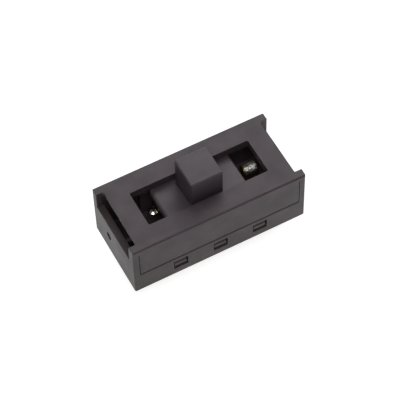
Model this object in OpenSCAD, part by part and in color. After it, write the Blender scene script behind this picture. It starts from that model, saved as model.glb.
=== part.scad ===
// Snap-together slide switch with two poles and three positions.
// The origin is the centre of the base's underside: +X runs along the slide, +Y to the back, +Z up.

/* [Body] */
// Length of the body along the slide
body_l = 28; // [24:0.5:36]
// Width of the body across the slide
body_w = 12.8; // [12.4:0.2:18]
// Height of the body from its underside to its top face
body_h = 9.9; // [8.6:0.1:13]
// Radius of the upright corners
corner_r = 0.25; // [0.15:0.05:0.8]
// Radius of the long top edges
edge_r = 0.3; // [0.1:0.05:0.5]

/* [Base] */
// Thickness of the floor
floor_t = 1.2; // [0.8:0.1:1.5]
// Thickness of the end walls
end_wall_t = 1.1; // [0.8:0.1:1.4]
// Depth of the notch between the posts, below the top face
notch_depth = 3.1; // [2.4:0.1:3.6]
// Length of a corner post along the slide
post_l = 0.95; // [0.7:0.05:1.1]
// Width of a corner post across the slide
post_w = 1.3; // [1.1:0.1:2]
// Thickness of the side walls
side_wall_t = 1.0; // [0.8:0.05:1.2]
// Height of the seam between the base and the cover
seam_z = 3.8; // [3.6:0.1:4.2]
// Bevel along the seam, on the base and on the cover
seam_bevel = 0.12; // [0.05:0.01:0.2]
// Thickness of the insulating ribs on the floor
rib_t = 0.7; // [0.5:0.1:1]
// Gap between the insulating ribs and the contact bridges
rib_gap = 1.6; // [0.8:0.1:2.4]
// Diameter of the moulding gate's recess in the left end wall
gate_d = 1.3; // [0.4:0.1:1.4]
// Depth of the gate's recess
gate_depth = 0.45; // [0.1:0.05:0.6]
// Distance of the gate from the centre line, to the back
gate_y = 1.7; // [-3:0.1:3]
// Height of the gate above the underside
gate_z = 3.8; // [2:0.1:6]

/* [Cover] */
// Thickness of the top plate
plate_t = 1.4; // [1:0.1:1.6]
// Room between the knob and the window's end when the slider is at its stop
window_room = 2.6; // [0.2:0.1:3]
// Width of the window
window_w = 6.1; // [5.6:0.1:6.4]
// Radius of the window's corners
window_r = 0.2; // [0.1:0.05:0.6]
// Thickness of the skirts along both sides
skirt_t = 1.1; // [0.9:0.05:1.3]
// Thickness of the plate's four corners, which cover the posts
corner_t = 0.9; // [0.6:0.05:1.2]
// Radius in the corners of the plate's end notches
notch_r = 0.3; // [0.1:0.05:0.6]
// Thickness of the lip that overhangs each end notch
lip_t = 0.45; // [0.3:0.05:0.8]
// How far the lip overhangs the end stop below it
lip_overhang = 0.9; // [0.4:0.1:1.4]
// Thickness of the end stops below the plate
stop_t = 0.7; // [0.5:0.1:0.9]
// Depth of the end stops below the plate
stop_drop = 2.3; // [1.5:0.1:2.4]

/* [Snap fit] */
// Spacing of the snap windows along each side
snap_pitch = 6.5; // [5:0.1:8]
// Width of a snap window
snap_w = 2.3; // [1.6:0.1:3]
// Height of a snap window's lower edge above the floor
snap_sill = 0.05; // [0:0.05:0.3]
// Height of a snap window
snap_h = 1.8; // [1.5:0.05:2.1]
// Thickness of a snap leg
leg_t = 0.8; // [0.6:0.05:1]
// Depth of a hook's face below the outer wall
hook_recess = 0.15; // [0.05:0.05:0.4]
// Height of a hook's upright face, above its lead-in
hook_face_h = 0.6; // [0.3:0.05:0.8]
// Lead-in bevel at the lower edge of a hook
hook_lead = 0.3; // [0.1:0.05:0.4]
// Depth of a hook's catch under the window's upper edge
hook_catch = 0.25; // [0.15:0.05:0.4]

/* [Slider] */
// Length of the knob along the slide
knob_l = 5.1; // [3:0.1:7]
// Width of the knob across the slide
knob_w = 5.2; // [3:0.1:5.4]
// Height of the knob above the top face
knob_rise = 4.0; // [1:0.1:8]
// Radius of the knob's edges
knob_r = 0.2; // [0.1:0.05:0.6]
// Length of the pad that runs under the window
pad_l = 13.2; // [11.4:0.1:13.6]
// Width of the pad
pad_w = 7.0; // [6.8:0.1:8]
// Thickness of the pad
pad_t = 1.1; // [0.8:0.1:1.3]
// Radius of the pad's corners in plan
pad_corner_r = 1.0; // [0.4:0.1:2]
// Radius of the pad's edges at its two ends
pad_edge_r = 0.5; // [0.1:0.1:0.7]
// Length of the carriage under the pad
carriage_l = 11; // [9:0.1:11.3]
// Height of the guide wings
wing_h = 1.9; // [1.8:0.1:2.2]
// Height of the carriage below its guide wings
carriage_foot = 0.7; // [0.5:0.1:1]

/* [Contacts] */
// Distance of the outer terminals from the end walls
terminal_inset = 3.5; // [3:0.1:4.2]
// Spacing of the two contact rows
row_pitch = 3.4; // [3.3:0.1:3.6]
// Thickness of the terminal strip
strip_t = 0.5; // [0.3:0.05:0.6]
// Width of the terminal strip along the slide
strip_w = 2.2; // [1.8:0.1:2.6]
// Width of a terminal's hairpin across the slide
hairpin_w = 1.5; // [1.4:0.1:1.8]
// How far a hairpin stands outside the centre line of its row
hairpin_shift = 0.55; // [0.3:0.05:0.7]
// Outer radius of the two bends at the top of a hairpin
bend_r = 0.6; // [0.55:0.05:0.7]
// Thickness of the silver tip that caps a hairpin
tip_t = 0.2; // [0.1:0.05:0.3]
// Width of the silver tip along the slide
tip_w = 1.8; // [1.2:0.1:2.1]
// Height of the straight part of a tip's flanks, below its bends
tip_flank = 0.1; // [0.05:0.05:0.4]
// Length of the solder tails below the underside
tail_l = 3.5; // [2:0.5:8]
// Width of the solder tails
tail_w = 1.7; // [1.2:0.1:1.8]
// Bevel at the end of a solder tail
tail_bevel = 0.35; // [0.1:0.05:0.5]
// Gap between a contact bridge in its centre position and the outer terminals
open_gap = 0.75; // [0.3:0.05:2]
// Width of a contact bridge
bridge_w = 1.5; // [1.2:0.1:1.6]
// Thickness of a contact bridge
bridge_t = 0.5; // [0.4:0.05:0.6]
// Radius of the dome on a bridge's two ends
dome_r = 1.2; // [1:0.05:2]
// Length of the ears that hold a bridge in the slider
ear_l = 1.6; // [1:0.1:2.4]
// How far an ear stands out of the side of its bridge
ear_reach = 0.4; // [0.2:0.05:0.5]

/* [Springs and detent] */
// Outer diameter of a bridge spring
bridge_spring_d = 1.4; // [1.1:0.1:1.6]
// Spacing of the two springs on one bridge
bridge_spring_pitch = 6.4; // [5:0.1:7.5]
// Wire diameter of the bridge springs
bridge_wire_d = 0.2; // [0.1:0.02:0.3]
// Turns of a bridge spring
bridge_turns = 4.5; // [3.5:0.5:6]
// Diameter of a detent ball
ball_d = 1.2; // [1:0.05:1.3]
// Depth of the detent grooves
detent_depth = 0.25; // [0.1:0.05:0.35]
// Wire diameter of the detent spring
detent_wire_d = 0.2; // [0.1:0.02:0.3]
// Turns of the detent spring
detent_turns = 13; // [8:1:16]

/* [Clearances] */
// Gap between the base and the cover
fit_gap = 0.1; // [0.05:0.01:0.15]
// Gap at each side of a snap hook in its window
hook_gap = 0.18; // [0.1:0.01:0.25]
// Gap between the slider and the cover
slide_gap = 0.06; // [0.03:0.01:0.12]
// Gap between a contact bridge and the silver tips
contact_gap = 0.03; // [0.01:0.01:0.05]
// Gap around the contact bridges and the solder tails
seat_gap = 0.06; // [0.03:0.01:0.1]
// Gap around the springs and the detent balls
spring_gap = 0.05; // [0.03:0.01:0.1]
// Gap between a seated piece and what it rests on
rest_gap = 0.01; // [0.005:0.005:0.02]

/* [Hidden] */
$fn = 48;
coil_sides = 6;
coil_steps = 14;
cut = 1;
housing_color = [0.33, 0.31, 0.33];
slider_color = [0.36, 0.34, 0.36];
brass_color = [0.78, 0.66, 0.40];
silver_color = [0.86, 0.86, 0.84];
copper_color = [0.80, 0.72, 0.58];
steel_color = [0.62, 0.63, 0.65];

half_l = body_l / 2;
half_w = body_w / 2;
notch_z = body_h - notch_depth;
notch_y = half_w - post_w;
post_x = half_l - post_l;
post_top = body_h - corner_t - rest_gap;
well_x = half_l - end_wall_t;
well_y = half_w - side_wall_t;
snap_z = floor_t + snap_sill;

cover_x = well_x - fit_gap;
plate_z = body_h - plate_t;
skirt_x = post_x - fit_gap;
skirt_y = half_w - skirt_t;
skirt_z = seam_z + fit_gap;
stop_x = cover_x - lip_overhang - stop_t;
stop_z = plate_z - stop_drop;
travel = stop_x - pad_l / 2 - fit_gap;
window_l = knob_l + 2 * (travel + window_room);
leg_y = well_y - fit_gap;
leg_z = floor_t + fit_gap;
leg_w = snap_w - 2 * hook_gap;
hook_y = half_w - hook_recess;
hook_low = snap_z + fit_gap;
hook_crest = hook_low + hook_lead + hook_face_h;
hook_high = snap_z + snap_h - fit_gap;

pad_top = plate_z - slide_gap;
pad_z = pad_top - pad_t;
wing_y = skirt_y - slide_gap;
wing_z = pad_z - wing_h + pad_t / 2;
carriage_z = wing_z - carriage_foot;
root_top = wing_z - fit_gap;

bridge_top = carriage_z + bridge_t / 2;
bridge_z = bridge_top - bridge_t;
channel_top = bridge_top + rest_gap;
contact_z = bridge_z - contact_gap;
hairpin_z = floor_t + rest_gap;
hairpin_h = contact_z - tip_t - rest_gap - hairpin_z;
row_y = row_pitch / 2;
hairpin_y = row_y + hairpin_shift;
terminal_pitch = well_x - terminal_inset;
tail_y = hairpin_y + (hairpin_w - strip_t) / 2;
bridge_l = 2 * (terminal_pitch - strip_w / 2 - open_gap);
rib_x = terminal_pitch / 2;
rib_top = bridge_z - rib_gap;

ball_r = ball_d / 2;
detent_z = wing_z + wing_h / 2;
ball_y = skirt_y - ball_r - spring_gap / 2;
groove_y = ball_y + detent_depth;
groove_r = ball_r + spring_gap / 2;
groove_h = ball_d + 4 * spring_gap;
pocket_r = bridge_spring_d / 2 + 2 * spring_gap;
pocket_top = pad_z + pad_t / 2;
bridge_spring_l = pocket_top - bridge_top - 2 * rest_gap;
detent_spring_d = ball_d - 2 * spring_gap;
detent_spring_l = 2 * (ball_y - ball_r - rest_gap);

FRONT = -1;
BACK = 1;
LEFT = -1;
CENTRE = 0;
RIGHT = 1;

// A block between two heights, centred on the Z axis.
module block(l, w, z0, z1) {
    translate([-l / 2, -w / 2, z0]) cube([l, w, z1 - z0]);
}

// A rectangle with four round corners, centred on the origin.
module rounded_rect(l, w, r) {
    square([l - 2 * r, w], center = true);
    square([l, w - 2 * r], center = true);
    for (x = [-1, 1], y = [-1, 1]) {
        translate([x * (l / 2 - r), y * (w / 2 - r)]) circle(r);
    }
}

// A profile that stands on the origin, with its two upper corners round.
module rounded_top(l, h, r) {
    translate([-l / 2, 0]) square([l, h - r]);
    translate([r - l / 2, 0]) square([l - 2 * r, h]);
    for (x = [-1, 1]) {
        translate([x * (l / 2 - r), h - r]) circle(r);
    }
}

// Extrudes a profile drawn across the slide (Y and Z) along X, centred.
module along_x(l) {
    rotate([90, 0, 90]) linear_extrude(l, center = true) children();
}

// Extrudes a profile drawn along the slide (X and Z) across it, centred.
module along_y(w) {
    rotate([90, 0, 0]) linear_extrude(w, center = true) children();
}

// Draws a shape on the back side and its mirror image on the front side.
module both_sides() {
    children();
    mirror([0, 1, 0]) children();
}

// Draws a shape at the right end and its mirror image at the left end.
module both_ends() {
    children();
    mirror([1, 0, 0]) children();
}

// The outer form that the base and the cover share.
module body_envelope() {
    intersection() {
        linear_extrude(body_h) rounded_rect(body_l, body_w, corner_r);
        along_x(body_l) rounded_top(body_w, body_h, edge_r);
    }
}

// Floor, side walls, end walls and corner posts.
module base_shell() {
    difference() {
        body_envelope();
        block(2 * well_x, 2 * well_y, floor_t, body_h + cut);
        both_sides() translate([-post_x, notch_y, seam_z]) cube([2 * post_x, post_w + cut, body_h]);
        block(body_l + cut, 2 * notch_y, notch_z, body_h + cut);
        block(body_l + cut, body_w + cut, post_top, body_h + cut);
        both_sides() along_x(2 * post_x) polygon([
            [half_w - seam_bevel, seam_z],
            [half_w, seam_z - seam_bevel],
            [half_w + cut, seam_z - seam_bevel],
            [half_w + cut, seam_z + cut],
            [half_w - seam_bevel, seam_z + cut],
        ]);
    }
}

// Ribs that part the two rows and the three terminals of a row.
module insulating_ribs() {
    block(2 * well_x, rib_t, floor_t, rib_top);
    for (x = [-rib_x, rib_x]) {
        translate([x, 0, 0]) block(rib_t, 2 * (leg_y - leg_t - fit_gap), floor_t, rib_top);
    }
}

// Slots in the floor that the solder tails pass through.
module tail_slots() {
    for (x = [LEFT, CENTRE, RIGHT], y = [FRONT, BACK]) {
        translate([x * terminal_pitch, y * tail_y, 0])
            block(tail_w + 2 * seat_gap, strip_t + 2 * seat_gap, -cut, floor_t + cut);
    }
}

// Windows in the side walls that the snap hooks reach into.
module snap_windows() {
    both_sides() for (x = [LEFT, CENTRE, RIGHT]) {
        translate([x * snap_pitch - snap_w / 2, well_y - fit_gap, snap_z])
            cube([snap_w, side_wall_t + fit_gap + cut, snap_h]);
    }
}

module base_housing() {
    color(housing_color) difference() {
        union() {
            base_shell();
            insulating_ribs();
        }
        tail_slots();
        snap_windows();
        translate([-half_l, gate_y, gate_z]) rotate([0, 90, 0])
            cylinder(h = 2 * gate_depth, d = gate_d, center = true);
    }
}

// Outline of the plate, notched at both ends between the corners that cover the posts.
module plate_outline() {
    difference() {
        square([body_l, body_w], center = true);
        for (x = [-half_l, half_l]) {
            translate([x, 0]) rounded_rect(2 * (half_l - cover_x), 2 * notch_y, notch_r);
        }
    }
}

// Plate and skirts, open at both ends.
module cover_shell() {
    intersection() {
        body_envelope();
        union() {
            translate([0, 0, body_h - corner_t]) linear_extrude(corner_t) plate_outline();
            block(2 * cover_x, body_w, plate_z, body_h - corner_t);
            both_sides() along_x(2 * skirt_x) polygon([
                [skirt_y, skirt_z],
                [half_w - seam_bevel, skirt_z],
                [half_w, skirt_z + seam_bevel],
                [half_w, body_h],
                [skirt_y, body_h],
            ]);
        }
    }
}

// A leg with its hook, on the back side.
module snap_leg() {
    translate([-leg_w / 2, leg_y - leg_t, leg_z])
        cube([leg_w, leg_t, root_top - leg_z]);
    translate([-leg_w / 2, leg_y - leg_t, skirt_z])
        cube([leg_w, half_w - skirt_t / 2 - leg_y + leg_t, root_top - skirt_z]);
    along_x(leg_w) polygon([
        [leg_y - leg_t / 2, hook_low],
        [hook_y - hook_lead, hook_low],
        [hook_y, hook_low + hook_lead],
        [hook_y, hook_crest],
        [well_y + hook_catch, hook_high],
        [leg_y - leg_t / 2, hook_high],
    ]);
}

// The block that stops the slider at one end, under the plate.
module end_stop() {
    translate([stop_x, -skirt_y, stop_z]) cube([stop_t, 2 * skirt_y, plate_z - stop_z]);
}

// The undercut that leaves a thin lip at one end of the plate.
module lip_undercut() {
    translate([stop_x + stop_t, -notch_y, stop_z])
        cube([cover_x - stop_x - stop_t + cut, 2 * notch_y, body_h - lip_t - stop_z]);
}

// Grooves in the skirts that the detent balls snap into.
module detent_grooves() {
    for (x = [-travel, 0, travel]) {
        translate([x, groove_y, detent_z]) cylinder(h = groove_h, r = groove_r, center = true);
    }
}

module top_cover() {
    color(housing_color) difference() {
        union() {
            cover_shell();
            both_ends() end_stop();
            both_sides() for (x = [LEFT, CENTRE, RIGHT]) {
                translate([x * snap_pitch, 0, 0]) snap_leg();
            }
        }
        translate([0, 0, plate_z - cut]) linear_extrude(plate_t + 2 * cut)
            rounded_rect(window_l, window_w, window_r);
        both_ends() lip_undercut();
        both_sides() detent_grooves();
    }
}

// The knob, with its upright and upper edges round.
module knob() {
    knob_top = body_h + knob_rise;
    intersection() {
        translate([0, 0, pad_z]) linear_extrude(knob_top - pad_z) rounded_rect(knob_l, knob_w, knob_r);
        along_x(knob_l) rounded_top(knob_w, knob_top, knob_r);
        along_y(knob_w) rounded_top(knob_l, knob_top, knob_r);
    }
}

// The pad that closes the window below the knob.
module pad() {
    intersection() {
        translate([0, 0, pad_z]) linear_extrude(pad_t) rounded_rect(pad_l, pad_w, pad_corner_r);
        along_y(pad_w) rounded_top(pad_l, pad_top, pad_edge_r);
    }
}

// Hollows in the carriage for one contact bridge and its two springs.
module bridge_seat() {
    block(carriage_l + cut, bridge_w + 2 * seat_gap, carriage_z - cut, channel_top);
    block(ear_l + 2 * seat_gap, bridge_w + 2 * ear_reach + 2 * seat_gap, carriage_z - cut, channel_top);
    for (x = [LEFT, RIGHT]) {
        translate([x * bridge_spring_pitch / 2, 0, carriage_z])
            cylinder(h = pocket_top - carriage_z, r = pocket_r);
    }
}

module slider() {
    color(slider_color) difference() {
        union() {
            knob();
            pad();
            block(carriage_l, pad_w, carriage_z, pad_z + pad_t / 2);
            block(carriage_l, 2 * wing_y, wing_z, wing_z + wing_h);
        }
        for (y = [FRONT, BACK]) {
            translate([0, y * row_y, 0]) bridge_seat();
        }
        translate([0, 0, detent_z]) rotate([90, 0, 0])
            cylinder(h = 2 * wing_y + cut, r = ball_r + spring_gap, center = true);
    }
}

// A strip bent to a flat-topped hairpin over the floor, with a solder tail under its outer leg.
module terminal(column, row) {
    tail_top = hairpin_z + hairpin_h - bend_r;
    color(brass_color)
    translate([column * terminal_pitch, row * hairpin_y, 0]) mirror([0, (1 - row) / 2, 0]) {
        along_x(strip_w) translate([0, hairpin_z]) difference() {
            rounded_top(hairpin_w, hairpin_h, bend_r);
            translate([0, -cut])
                rounded_top(hairpin_w - 2 * strip_t, hairpin_h - strip_t + cut, bend_r - strip_t);
        }
        translate([0, (hairpin_w - strip_t) / 2, 0]) along_y(strip_t) polygon([
            [-tail_w / 2, tail_top],
            [-tail_w / 2, tail_bevel - tail_l],
            [tail_bevel - tail_w / 2, -tail_l],
            [tail_w / 2 - tail_bevel, -tail_l],
            [tail_w / 2, tail_bevel - tail_l],
            [tail_w / 2, tail_top],
        ]);
    }
}

// A silver cap over the top of a hairpin.
module contact_tip(column, row) {
    inner_r = bend_r + rest_gap;
    inner_w = hairpin_w + 2 * rest_gap;
    outer_r = inner_r + tip_t;
    tip_h = outer_r + tip_flank;
    color(silver_color)
    translate([column * terminal_pitch, row * hairpin_y, contact_z - tip_h]) along_x(tip_w) difference() {
        rounded_top(inner_w + 2 * tip_t, tip_h, outer_r);
        translate([0, -cut]) rounded_top(inner_w, tip_h - tip_t + cut, inner_r);
    }
}

// The round end of a bridge, domed on top.
module bridge_end() {
    intersection() {
        cylinder(h = bridge_t, d = bridge_w);
        translate([0, 0, bridge_t - dome_r]) sphere(dome_r);
    }
}

// A bar that joins two neighbouring terminals of a row.
module contact_bridge(row) {
    end_x = (bridge_l - bridge_w) / 2;
    color(copper_color) translate([0, row * row_y, 0]) {
        block(2 * end_x - bridge_w / 2, bridge_w, bridge_z, bridge_top);
        for (x = [LEFT, RIGHT]) {
            translate([x * end_x, 0, bridge_z]) bridge_end();
        }
        block(ear_l, bridge_w + 2 * ear_reach, bridge_top - bridge_t / 2 + rest_gap, bridge_top);
    }
}

// Height along a coil at a number of turns from its lower end: one close turn at each end, open between.
function coil_height(turn, turns, length, wire_d) =
    turn < 1 ? wire_d * (0.5 + turn)
    : turn > turns - 1 ? length - wire_d * (0.5 + turns - turn)
    : wire_d * 1.5 + (length - 3 * wire_d) * (turn - 1) / (turns - 2);

// One ring of points round the wire of a coil.
function coil_ring(step, turns, length, mean_r, wire_d) =
    let (
        turn = step / coil_steps,
        angle = 360 * turn,
        height = coil_height(turn, turns, length, wire_d)
    )
    [for (side = [0 : coil_sides - 1])
        let (
            tilt = 360 * side / coil_sides,
            radius = mean_r + wire_d / 2 * cos(tilt)
        )
        [radius * cos(angle), radius * sin(angle), height + wire_d / 2 * sin(tilt)]];

// A compression spring that stands on the origin, along Z.
module coil_spring(diameter, length, turns, wire_d) {
    rings = turns * coil_steps;
    mean_r = (diameter - wire_d) / 2;
    points = [for (step = [0 : rings]) each coil_ring(step, turns, length, mean_r, wire_d)];
    last = rings * coil_sides;
    walls = [for (step = [0 : rings - 1], side = [0 : coil_sides - 1])
        let (
            next = (side + 1) % coil_sides,
            here = step * coil_sides,
            above = here + coil_sides
        )
        each [[here + side, above + side, here + next], [here + next, above + side, above + next]]];
    ends = [
        [for (side = [0 : coil_sides - 1]) side],
        [for (side = [coil_sides - 1 : -1 : 0]) last + side],
    ];
    polyhedron(points, concat(walls, ends));
}

module bridge_spring(column, row) {
    color(steel_color) translate([column * bridge_spring_pitch / 2, row * row_y, bridge_top + rest_gap])
        coil_spring(bridge_spring_d, bridge_spring_l, bridge_turns, bridge_wire_d);
}

module detent_spring() {
    color(steel_color) translate([0, -detent_spring_l / 2, detent_z]) rotate([-90, 0, 0])
        coil_spring(detent_spring_d, detent_spring_l, detent_turns, detent_wire_d);
}

module detent_ball(row) {
    color(steel_color) translate([0, row * ball_y, detent_z]) sphere(ball_r);
}

base_housing();
top_cover();
slider();
terminal(LEFT, FRONT);  // terminal_front_left
terminal(CENTRE, FRONT);  // terminal_front_centre
terminal(RIGHT, FRONT);  // terminal_front_right
terminal(LEFT, BACK);  // terminal_back_left
terminal(CENTRE, BACK);  // terminal_back_centre
terminal(RIGHT, BACK);  // terminal_back_right
contact_tip(LEFT, FRONT);  // contact_tip_front_left
contact_tip(CENTRE, FRONT);  // contact_tip_front_centre
contact_tip(RIGHT, FRONT);  // contact_tip_front_right
contact_tip(LEFT, BACK);  // contact_tip_back_left
contact_tip(CENTRE, BACK);  // contact_tip_back_centre
contact_tip(RIGHT, BACK);  // contact_tip_back_right
contact_bridge(FRONT);  // contact_bridge_front
contact_bridge(BACK);  // contact_bridge_back
bridge_spring(LEFT, FRONT);  // bridge_spring_front_left
bridge_spring(RIGHT, FRONT);  // bridge_spring_front_right
bridge_spring(LEFT, BACK);  // bridge_spring_back_left
bridge_spring(RIGHT, BACK);  // bridge_spring_back_right
detent_spring();
detent_ball(FRONT);  // detent_ball_front
detent_ball(BACK);  // detent_ball_back
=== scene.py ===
"""Finishes, camera, table and light for the slide switch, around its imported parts.

Lengths are in metres, angles in degrees, lamp powers in watts and colours in linear light.
"""

import math

import bpy
from mathutils import Matrix, Vector


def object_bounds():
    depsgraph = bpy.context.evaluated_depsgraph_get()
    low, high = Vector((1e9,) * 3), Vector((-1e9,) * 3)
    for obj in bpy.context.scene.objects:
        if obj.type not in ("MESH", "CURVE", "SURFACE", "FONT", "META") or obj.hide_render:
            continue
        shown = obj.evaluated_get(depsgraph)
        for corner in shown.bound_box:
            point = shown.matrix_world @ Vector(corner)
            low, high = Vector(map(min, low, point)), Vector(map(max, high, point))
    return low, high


MM = 0.001
WHITE = (1, 1, 1, 1)

# Camera: fitted to the edges of the body in the photograph. Blender takes the sensor and the focal
# length in millimetres.
VIEW_AZIMUTH = -26.59
VIEW_ELEVATION = 56.05
VIEW_ROLL = -1.94
VIEW_TARGET = Vector((0.141, 0.145, 5.0)) * MM
VIEW_DISTANCE = 279.5 * MM
SENSOR_WIDTH = 36.0
FOCAL_LENGTH = 172.78
NEAR_CLIP = 10 * MM

# Table: its own glow makes it white to the camera, and its grey under the lamps keeps the shadow.
FLOOR_SIZE = 3.0
FLOOR_COLOUR = (0.55, 0.55, 0.55, 1)
FLOOR_ROUGHNESS = 0.9
FLOOR_GLOW = 0.83

# Room: as pale as the far table near the horizon, and dark overhead. It fades between two rises
# above the horizon, as shares of a unit direction.
HORIZON_LEVEL = 0.85
ZENITH_LEVEL = 0.0
HORIZON_RISE = (0.12, 0.24)

# Soft boxes: the key behind the part to its right, a weaker rim light behind it to its left, and a
# fill above the camera that reaches into the window.
KEY_PLACE = Vector((215, 235, 320)) * MM
KEY_SIZE = 0.40
KEY_POWER = 1.24
RIM_PLACE = Vector((-265, 220, 290)) * MM
RIM_SIZE = 0.30
RIM_POWER = 0.24
FILL_PLACE = Vector((-90, -182, 398)) * MM
FILL_SIZE = 0.20
FILL_POWER = 0.70

# Noise: detail in octaves, and the part of its range that nearly all of its values lie in.
FINE_DETAIL = 2.0
MEDIUM_DETAIL = 3.0
RICH_DETAIL = 4.0
NOISE_RANGE = (0.3, 0.7)
EVEN = (1, 1, 1)

# Sockets of a Mix node for colours, which share their names with those for numbers.
MIX_FIRST_COLOUR = 6
MIX_LAST_COLOUR = 7
MIX_COLOUR_RESULT = 2

# Moulded plastics: a colour each, mottled from a lighter to a darker tone by flow clouds and by
# the grain of the spark-eroded mould.
BASE_COLOUR = (0.058, 0.042, 0.045)
COVER_COLOUR = (0.064, 0.047, 0.056)
SLIDER_COLOUR = (0.065, 0.050, 0.059)
HOUSING_ROUGHNESS = (0.48, 0.56)
SLIDER_ROUGHNESS = (0.42, 0.50)
PLASTIC_IOR = 1.5
LIGHT_TONE = 1.10
DARK_TONE = 0.90
TONE_RANGE = (0.38, 0.62)
CLOUD_WIDTH = 2.6 * MM
CLOUD_STRETCH = (1.2, 1, 1)
GRAIN_WIDTH = 0.09 * MM
GRAIN_SHARE = 0.35
GRAIN_DEPTH = 0.006 * MM
GRAIN_STRENGTH = 0.6
EDGE_RADIUS = 0.08 * MM
EDGE_SAMPLES = 8

METAL = {"Metallic": 1.0}

# Brass strip of the terminals.
BRASS_TARNISHED = (0.46, 0.34, 0.16)
BRASS_CLEAN = (0.68, 0.54, 0.27)
BRASS_ROUGHNESS = (0.24, 0.46)
TARNISH_WIDTH = 0.7 * MM
TARNISH_SHARE = 0.5
ROLLING_WIDTH = 0.06 * MM
ROLLING_STRETCH = (1, 1, 14)
ROLLING_DEPTH = 0.004 * MM
ROLLING_STRENGTH = 0.6

# Silver overlay of the contact tips.
SILVER_YELLOWED = (0.86, 0.83, 0.75)
SILVER_CLEAN = (0.97, 0.96, 0.93)
SILVER_ROUGHNESS = (0.34, 0.44)
YELLOWING_WIDTH = 0.5 * MM
DIMPLE_WIDTH = 0.30 * MM
DIMPLE_DEPTH = 0.18 * MM
SCORE_WIDTH = 0.05 * MM
SCORE_STRETCH = (16, 1, 1)
SCORE_SHARE = 0.04

# Plating of the contact bridges.
PLATING_WORN = (0.64, 0.55, 0.42)
PLATING_CLEAN = (0.86, 0.84, 0.79)
PLATING_ROUGHNESS = (0.16, 0.34)
WORN_WIDTH = 0.8 * MM
SCRATCH_WIDTH = 0.05 * MM
SCRATCH_STRETCH = (20, 1, 1)
SCRATCH_DEPTH = 0.0015 * MM
SCRATCH_STRENGTH = 0.4

# Steel of the springs and the detent balls.
WIRE_DARK = (0.40, 0.40, 0.41)
WIRE_LIGHT = (0.60, 0.60, 0.61)
WIRE_ROUGHNESS = (0.22, 0.38)
WIRE_MARK_WIDTH = 0.05 * MM
BALL_DARK = (0.62, 0.62, 0.63)
BALL_LIGHT = (0.76, 0.76, 0.77)
BALL_ROUGHNESS = (0.08, 0.18)
BALL_MARK_WIDTH = 0.12 * MM


class Surface:
    """A Principled material, with short calls for the texture nodes that feed it."""

    def __init__(self, name, constants):
        self.material = bpy.data.materials.new(name)
        self.material.use_nodes = True
        self.tree = self.material.node_tree
        self.tree.nodes.clear()
        output = self.tree.nodes.new("ShaderNodeOutputMaterial")
        self.shader = self.tree.nodes.new("ShaderNodeBsdfPrincipled")
        self.link(self.shader.outputs["BSDF"], output.inputs["Surface"])
        for socket, value in constants.items():
            self.shader.inputs[socket].default_value = value

    def link(self, source, target):
        self.tree.links.new(source, target)

    def feed(self, source, socket):
        self.link(source, self.shader.inputs[socket])

    def noise(self, width, detail=MEDIUM_DETAIL, stretch=EVEN):
        """A noise factor whose features are about this wide, drawn out along an axis by stretch."""
        place = self.tree.nodes.new("ShaderNodeTexCoord")
        mapping = self.tree.nodes.new("ShaderNodeMapping")
        mapping.inputs["Scale"].default_value = [1 / (width * s) for s in stretch]
        self.link(place.outputs["Object"], mapping.inputs["Vector"])
        texture = self.tree.nodes.new("ShaderNodeTexNoise")
        texture.inputs["Scale"].default_value = 1.0
        texture.inputs["Detail"].default_value = detail
        self.link(mapping.outputs["Vector"], texture.inputs["Vector"])
        return texture.outputs["Fac"]

    def blend(self, first, second, share):
        """Two factors mixed, with this share of the second."""
        node = self.tree.nodes.new("ShaderNodeMix")
        node.inputs["Factor"].default_value = share
        self.link(first, node.inputs["A"])
        self.link(second, node.inputs["B"])
        return node.outputs["Result"]

    def spread(self, factor, span, source=NOISE_RANGE):
        """Maps the source range of a factor to a span of values."""
        node = self.tree.nodes.new("ShaderNodeMapRange")
        node.inputs["From Min"].default_value, node.inputs["From Max"].default_value = source
        node.inputs["To Min"].default_value, node.inputs["To Max"].default_value = span
        self.link(factor, node.inputs["Value"])
        return node.outputs["Result"]

    def paint(self, factor, first, last, source=NOISE_RANGE):
        """A colour that runs from first to last over the source range of a factor."""
        node = self.tree.nodes.new("ShaderNodeMix")
        node.data_type = "RGBA"
        node.inputs[MIX_FIRST_COLOUR].default_value = (*first, 1)
        node.inputs[MIX_LAST_COLOUR].default_value = (*last, 1)
        self.link(self.spread(factor, (0, 1), source), node.inputs["Factor"])
        self.feed(node.outputs[MIX_COLOUR_RESULT], "Base Color")

    def roughen(self, factor, span):
        """A roughness that runs over a span with a factor."""
        self.feed(self.spread(factor, span), "Roughness")

    def rounded_edges(self, radius):
        """Normals that turn smoothly round the sharp edges."""
        node = self.tree.nodes.new("ShaderNodeBevel")
        node.samples = EDGE_SAMPLES
        node.inputs["Radius"].default_value = radius
        return node.outputs["Normal"]

    def bump(self, height, depth, strength=1.0, normal=None):
        """Relief from a height factor, on the given normals or the mesh's own."""
        node = self.tree.nodes.new("ShaderNodeBump")
        node.inputs["Strength"].default_value = strength
        node.inputs["Distance"].default_value = depth
        self.link(height, node.inputs["Height"])
        if normal:
            self.link(normal, node.inputs["Normal"])
        self.feed(node.outputs["Normal"], "Normal")


def shade(colour, factor):
    """A colour made darker or lighter by a factor."""
    return tuple(channel * factor for channel in colour)


def moulded_plastic(name, colour, roughness):
    """Black thermoplastic: fine grain, faint flow clouds, uneven gloss and soft edges."""
    surface = Surface(name, {"IOR": PLASTIC_IOR})
    clouds = surface.noise(CLOUD_WIDTH, stretch=CLOUD_STRETCH)
    grain = surface.noise(GRAIN_WIDTH, FINE_DETAIL)
    mottling = surface.blend(clouds, grain, GRAIN_SHARE)
    surface.paint(mottling, shade(colour, LIGHT_TONE), shade(colour, DARK_TONE), TONE_RANGE)
    surface.roughen(clouds, roughness)
    surface.bump(grain, GRAIN_DEPTH, GRAIN_STRENGTH, surface.rounded_edges(EDGE_RADIUS))
    return surface.material


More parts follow.
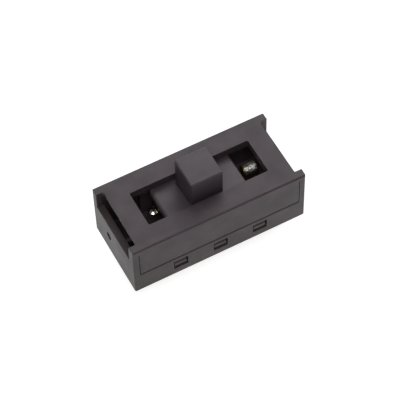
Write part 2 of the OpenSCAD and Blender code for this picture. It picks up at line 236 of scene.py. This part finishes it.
def rolled_brass(name):
    """Brass strip with rolling lines and a light, patchy tarnish."""
    surface = Surface(name, METAL)
    lines = surface.noise(ROLLING_WIDTH, FINE_DETAIL, ROLLING_STRETCH)
    tarnish = surface.noise(TARNISH_WIDTH, RICH_DETAIL)
    surface.paint(tarnish, BRASS_TARNISHED, BRASS_CLEAN)
    surface.roughen(surface.blend(lines, tarnish, TARNISH_SHARE), BRASS_ROUGHNESS)
    surface.bump(lines, ROLLING_DEPTH, ROLLING_STRENGTH)
    return surface.material


def contact_silver(name):
    """Silver overlay dimpled by the press, yellowed in patches and scored along the slide."""
    surface = Surface(name, METAL)
    scores = surface.noise(SCORE_WIDTH, FINE_DETAIL, SCORE_STRETCH)
    dimples = surface.noise(DIMPLE_WIDTH, FINE_DETAIL)
    surface.paint(surface.noise(YELLOWING_WIDTH), SILVER_YELLOWED, SILVER_CLEAN)
    surface.roughen(scores, SILVER_ROUGHNESS)
    surface.bump(surface.blend(dimples, scores, SCORE_SHARE), DIMPLE_DEPTH)
    return surface.material


def plated_bridge(name):
    """Silver-plated copper alloy, worn in patches and scratched finely along the slide."""
    surface = Surface(name, METAL)
    scratches = surface.noise(SCRATCH_WIDTH, FINE_DETAIL, SCRATCH_STRETCH)
    surface.paint(surface.noise(WORN_WIDTH), PLATING_WORN, PLATING_CLEAN)
    surface.roughen(scratches, PLATING_ROUGHNESS)
    surface.bump(scratches, SCRATCH_DEPTH, SCRATCH_STRENGTH)
    return surface.material


def spring_wire(name):
    """Drawn steel wire with fine, uneven marks."""
    surface = Surface(name, METAL)
    marks = surface.noise(WIRE_MARK_WIDTH, FINE_DETAIL)
    surface.paint(marks, WIRE_DARK, WIRE_LIGHT)
    surface.roughen(marks, WIRE_ROUGHNESS)
    return surface.material


def polished_ball(name):
    """Ground and polished steel with a few fine marks."""
    surface = Surface(name, METAL)
    marks = surface.noise(BALL_MARK_WIDTH)
    surface.paint(marks, BALL_DARK, BALL_LIGHT)
    surface.roughen(marks, BALL_ROUGHNESS)
    return surface.material


def dress(nodes):
    """Gives every part the finish of its family, which its name starts with."""
    finishes = {
        "base_housing": moulded_plastic("base_plastic", BASE_COLOUR, HOUSING_ROUGHNESS),
        "top_cover": moulded_plastic("cover_plastic", COVER_COLOUR, HOUSING_ROUGHNESS),
        "slider": moulded_plastic("slider_plastic", SLIDER_COLOUR, SLIDER_ROUGHNESS),
        "terminal": rolled_brass("terminal_brass"),
        "contact_tip": contact_silver("contact_silver"),
        "contact_bridge": plated_bridge("bridge_plating"),
        "bridge_spring": spring_wire("bridge_spring_wire"),
        "detent_spring": spring_wire("detent_spring_wire"),
        "detent_ball": polished_ball("ball_steel"),
    }
    for name, part in nodes.items():
        family = next(key for key in finishes if name.startswith(key))
        part.data.materials.clear()
        part.data.materials.append(finishes[family])


def shown_level(tree):
    """A Multiply node whose second input is the level shown to the camera.

    The camera sees it directly, by reflection or through glass, and other rays meet a level of 0.
    """
    path = tree.nodes.new("ShaderNodeLightPath")
    seen = path.outputs["Is Camera Ray"]
    for ray in ("Is Glossy Ray", "Is Transmission Ray"):
        either = tree.nodes.new("ShaderNodeMath")
        either.operation = "MAXIMUM"
        tree.links.new(seen, either.inputs[0])
        tree.links.new(path.outputs[ray], either.inputs[1])
        seen = either.outputs["Value"]
    shown = tree.nodes.new("ShaderNodeMath")
    shown.operation = "MULTIPLY"
    tree.links.new(seen, shown.inputs[0])
    return shown


def build_floor(height):
    """A white table that the part stands on, and that keeps its shadow."""
    bpy.ops.mesh.primitive_plane_add(size=FLOOR_SIZE, location=(0, 0, height))
    floor = bpy.context.object
    floor.name = "floor"
    surface = Surface("white_table", {
        "Base Color": FLOOR_COLOUR,
        "Roughness": FLOOR_ROUGHNESS,
        "Specular IOR Level": 0.0,
        "Emission Color": WHITE,
    })
    glow = shown_level(surface.tree)
    glow.inputs[1].default_value = FLOOR_GLOW
    surface.feed(glow.outputs["Value"], "Emission Strength")
    floor.data.materials.append(surface.material)


def build_room():
    """Surroundings that are pale at the horizon and dark overhead."""
    world = bpy.data.worlds.new("studio")
    world.use_nodes = True
    tree = world.node_tree
    background = tree.nodes["Background"]
    background.inputs["Color"].default_value = WHITE
    direction = tree.nodes.new("ShaderNodeTexCoord")
    parts = tree.nodes.new("ShaderNodeSeparateXYZ")
    level = tree.nodes.new("ShaderNodeMapRange")
    level.interpolation_type = "SMOOTHSTEP"
    level.inputs["From Min"].default_value, level.inputs["From Max"].default_value = HORIZON_RISE
    level.inputs["To Min"].default_value = HORIZON_LEVEL
    level.inputs["To Max"].default_value = ZENITH_LEVEL
    shown = shown_level(tree)
    tree.links.new(direction.outputs["Generated"], parts.inputs["Vector"])
    tree.links.new(parts.outputs["Z"], level.inputs["Value"])
    tree.links.new(level.outputs["Result"], shown.inputs[1])
    tree.links.new(shown.outputs["Value"], background.inputs["Strength"])
    bpy.context.scene.world = world


def add_soft_box(name, place, size, power):
    """A square soft box, aimed at the part."""
    lamp = bpy.data.lights.new(name, "AREA")
    lamp.shape = "SQUARE"
    lamp.size = size
    lamp.energy = power
    box = bpy.data.objects.new(name, lamp)
    box.location = place
    box.rotation_euler = (VIEW_TARGET - place).to_track_quat("-Z", "Y").to_euler()
    bpy.context.scene.collection.objects.link(box)


def add_camera():
    """A long lens at the photograph's viewing angle."""
    azimuth = math.radians(VIEW_AZIMUTH)
    elevation = math.radians(VIEW_ELEVATION)
    roll = math.radians(VIEW_ROLL)
    back = Vector((
        math.sin(azimuth) * math.cos(elevation),
        -math.cos(azimuth) * math.cos(elevation),
        math.sin(elevation),
    ))
    level = Vector((math.cos(azimuth), math.sin(azimuth), 0))
    rise = back.cross(level)
    right = level * math.cos(roll) + rise * math.sin(roll)
    turn = Matrix((right, back.cross(right), back)).transposed()
    lens = bpy.data.cameras.new("camera")
    lens.sensor_width = SENSOR_WIDTH
    lens.lens = FOCAL_LENGTH
    lens.clip_start = NEAR_CLIP
    camera = bpy.data.objects.new("camera", lens)
    camera.matrix_world = Matrix.Translation(VIEW_TARGET + back * VIEW_DISTANCE) @ turn.to_4x4()
    bpy.context.scene.collection.objects.link(camera)
    bpy.context.scene.camera = camera


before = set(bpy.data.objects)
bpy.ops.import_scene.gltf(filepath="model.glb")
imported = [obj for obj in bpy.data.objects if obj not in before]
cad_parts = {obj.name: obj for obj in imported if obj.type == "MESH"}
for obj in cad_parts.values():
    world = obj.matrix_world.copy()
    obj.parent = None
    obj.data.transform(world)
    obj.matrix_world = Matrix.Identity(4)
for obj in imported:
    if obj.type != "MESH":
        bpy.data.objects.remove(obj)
cad_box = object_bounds()

dress(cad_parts)
build_floor(cad_box[0].z)
build_room()
add_soft_box("key", KEY_PLACE, KEY_SIZE, KEY_POWER)
add_soft_box("rim", RIM_PLACE, RIM_SIZE, RIM_POWER)
add_soft_box("fill", FILL_PLACE, FILL_SIZE, FILL_POWER)
add_camera()
bpy.context.scene.view_settings.view_transform = "Standard"
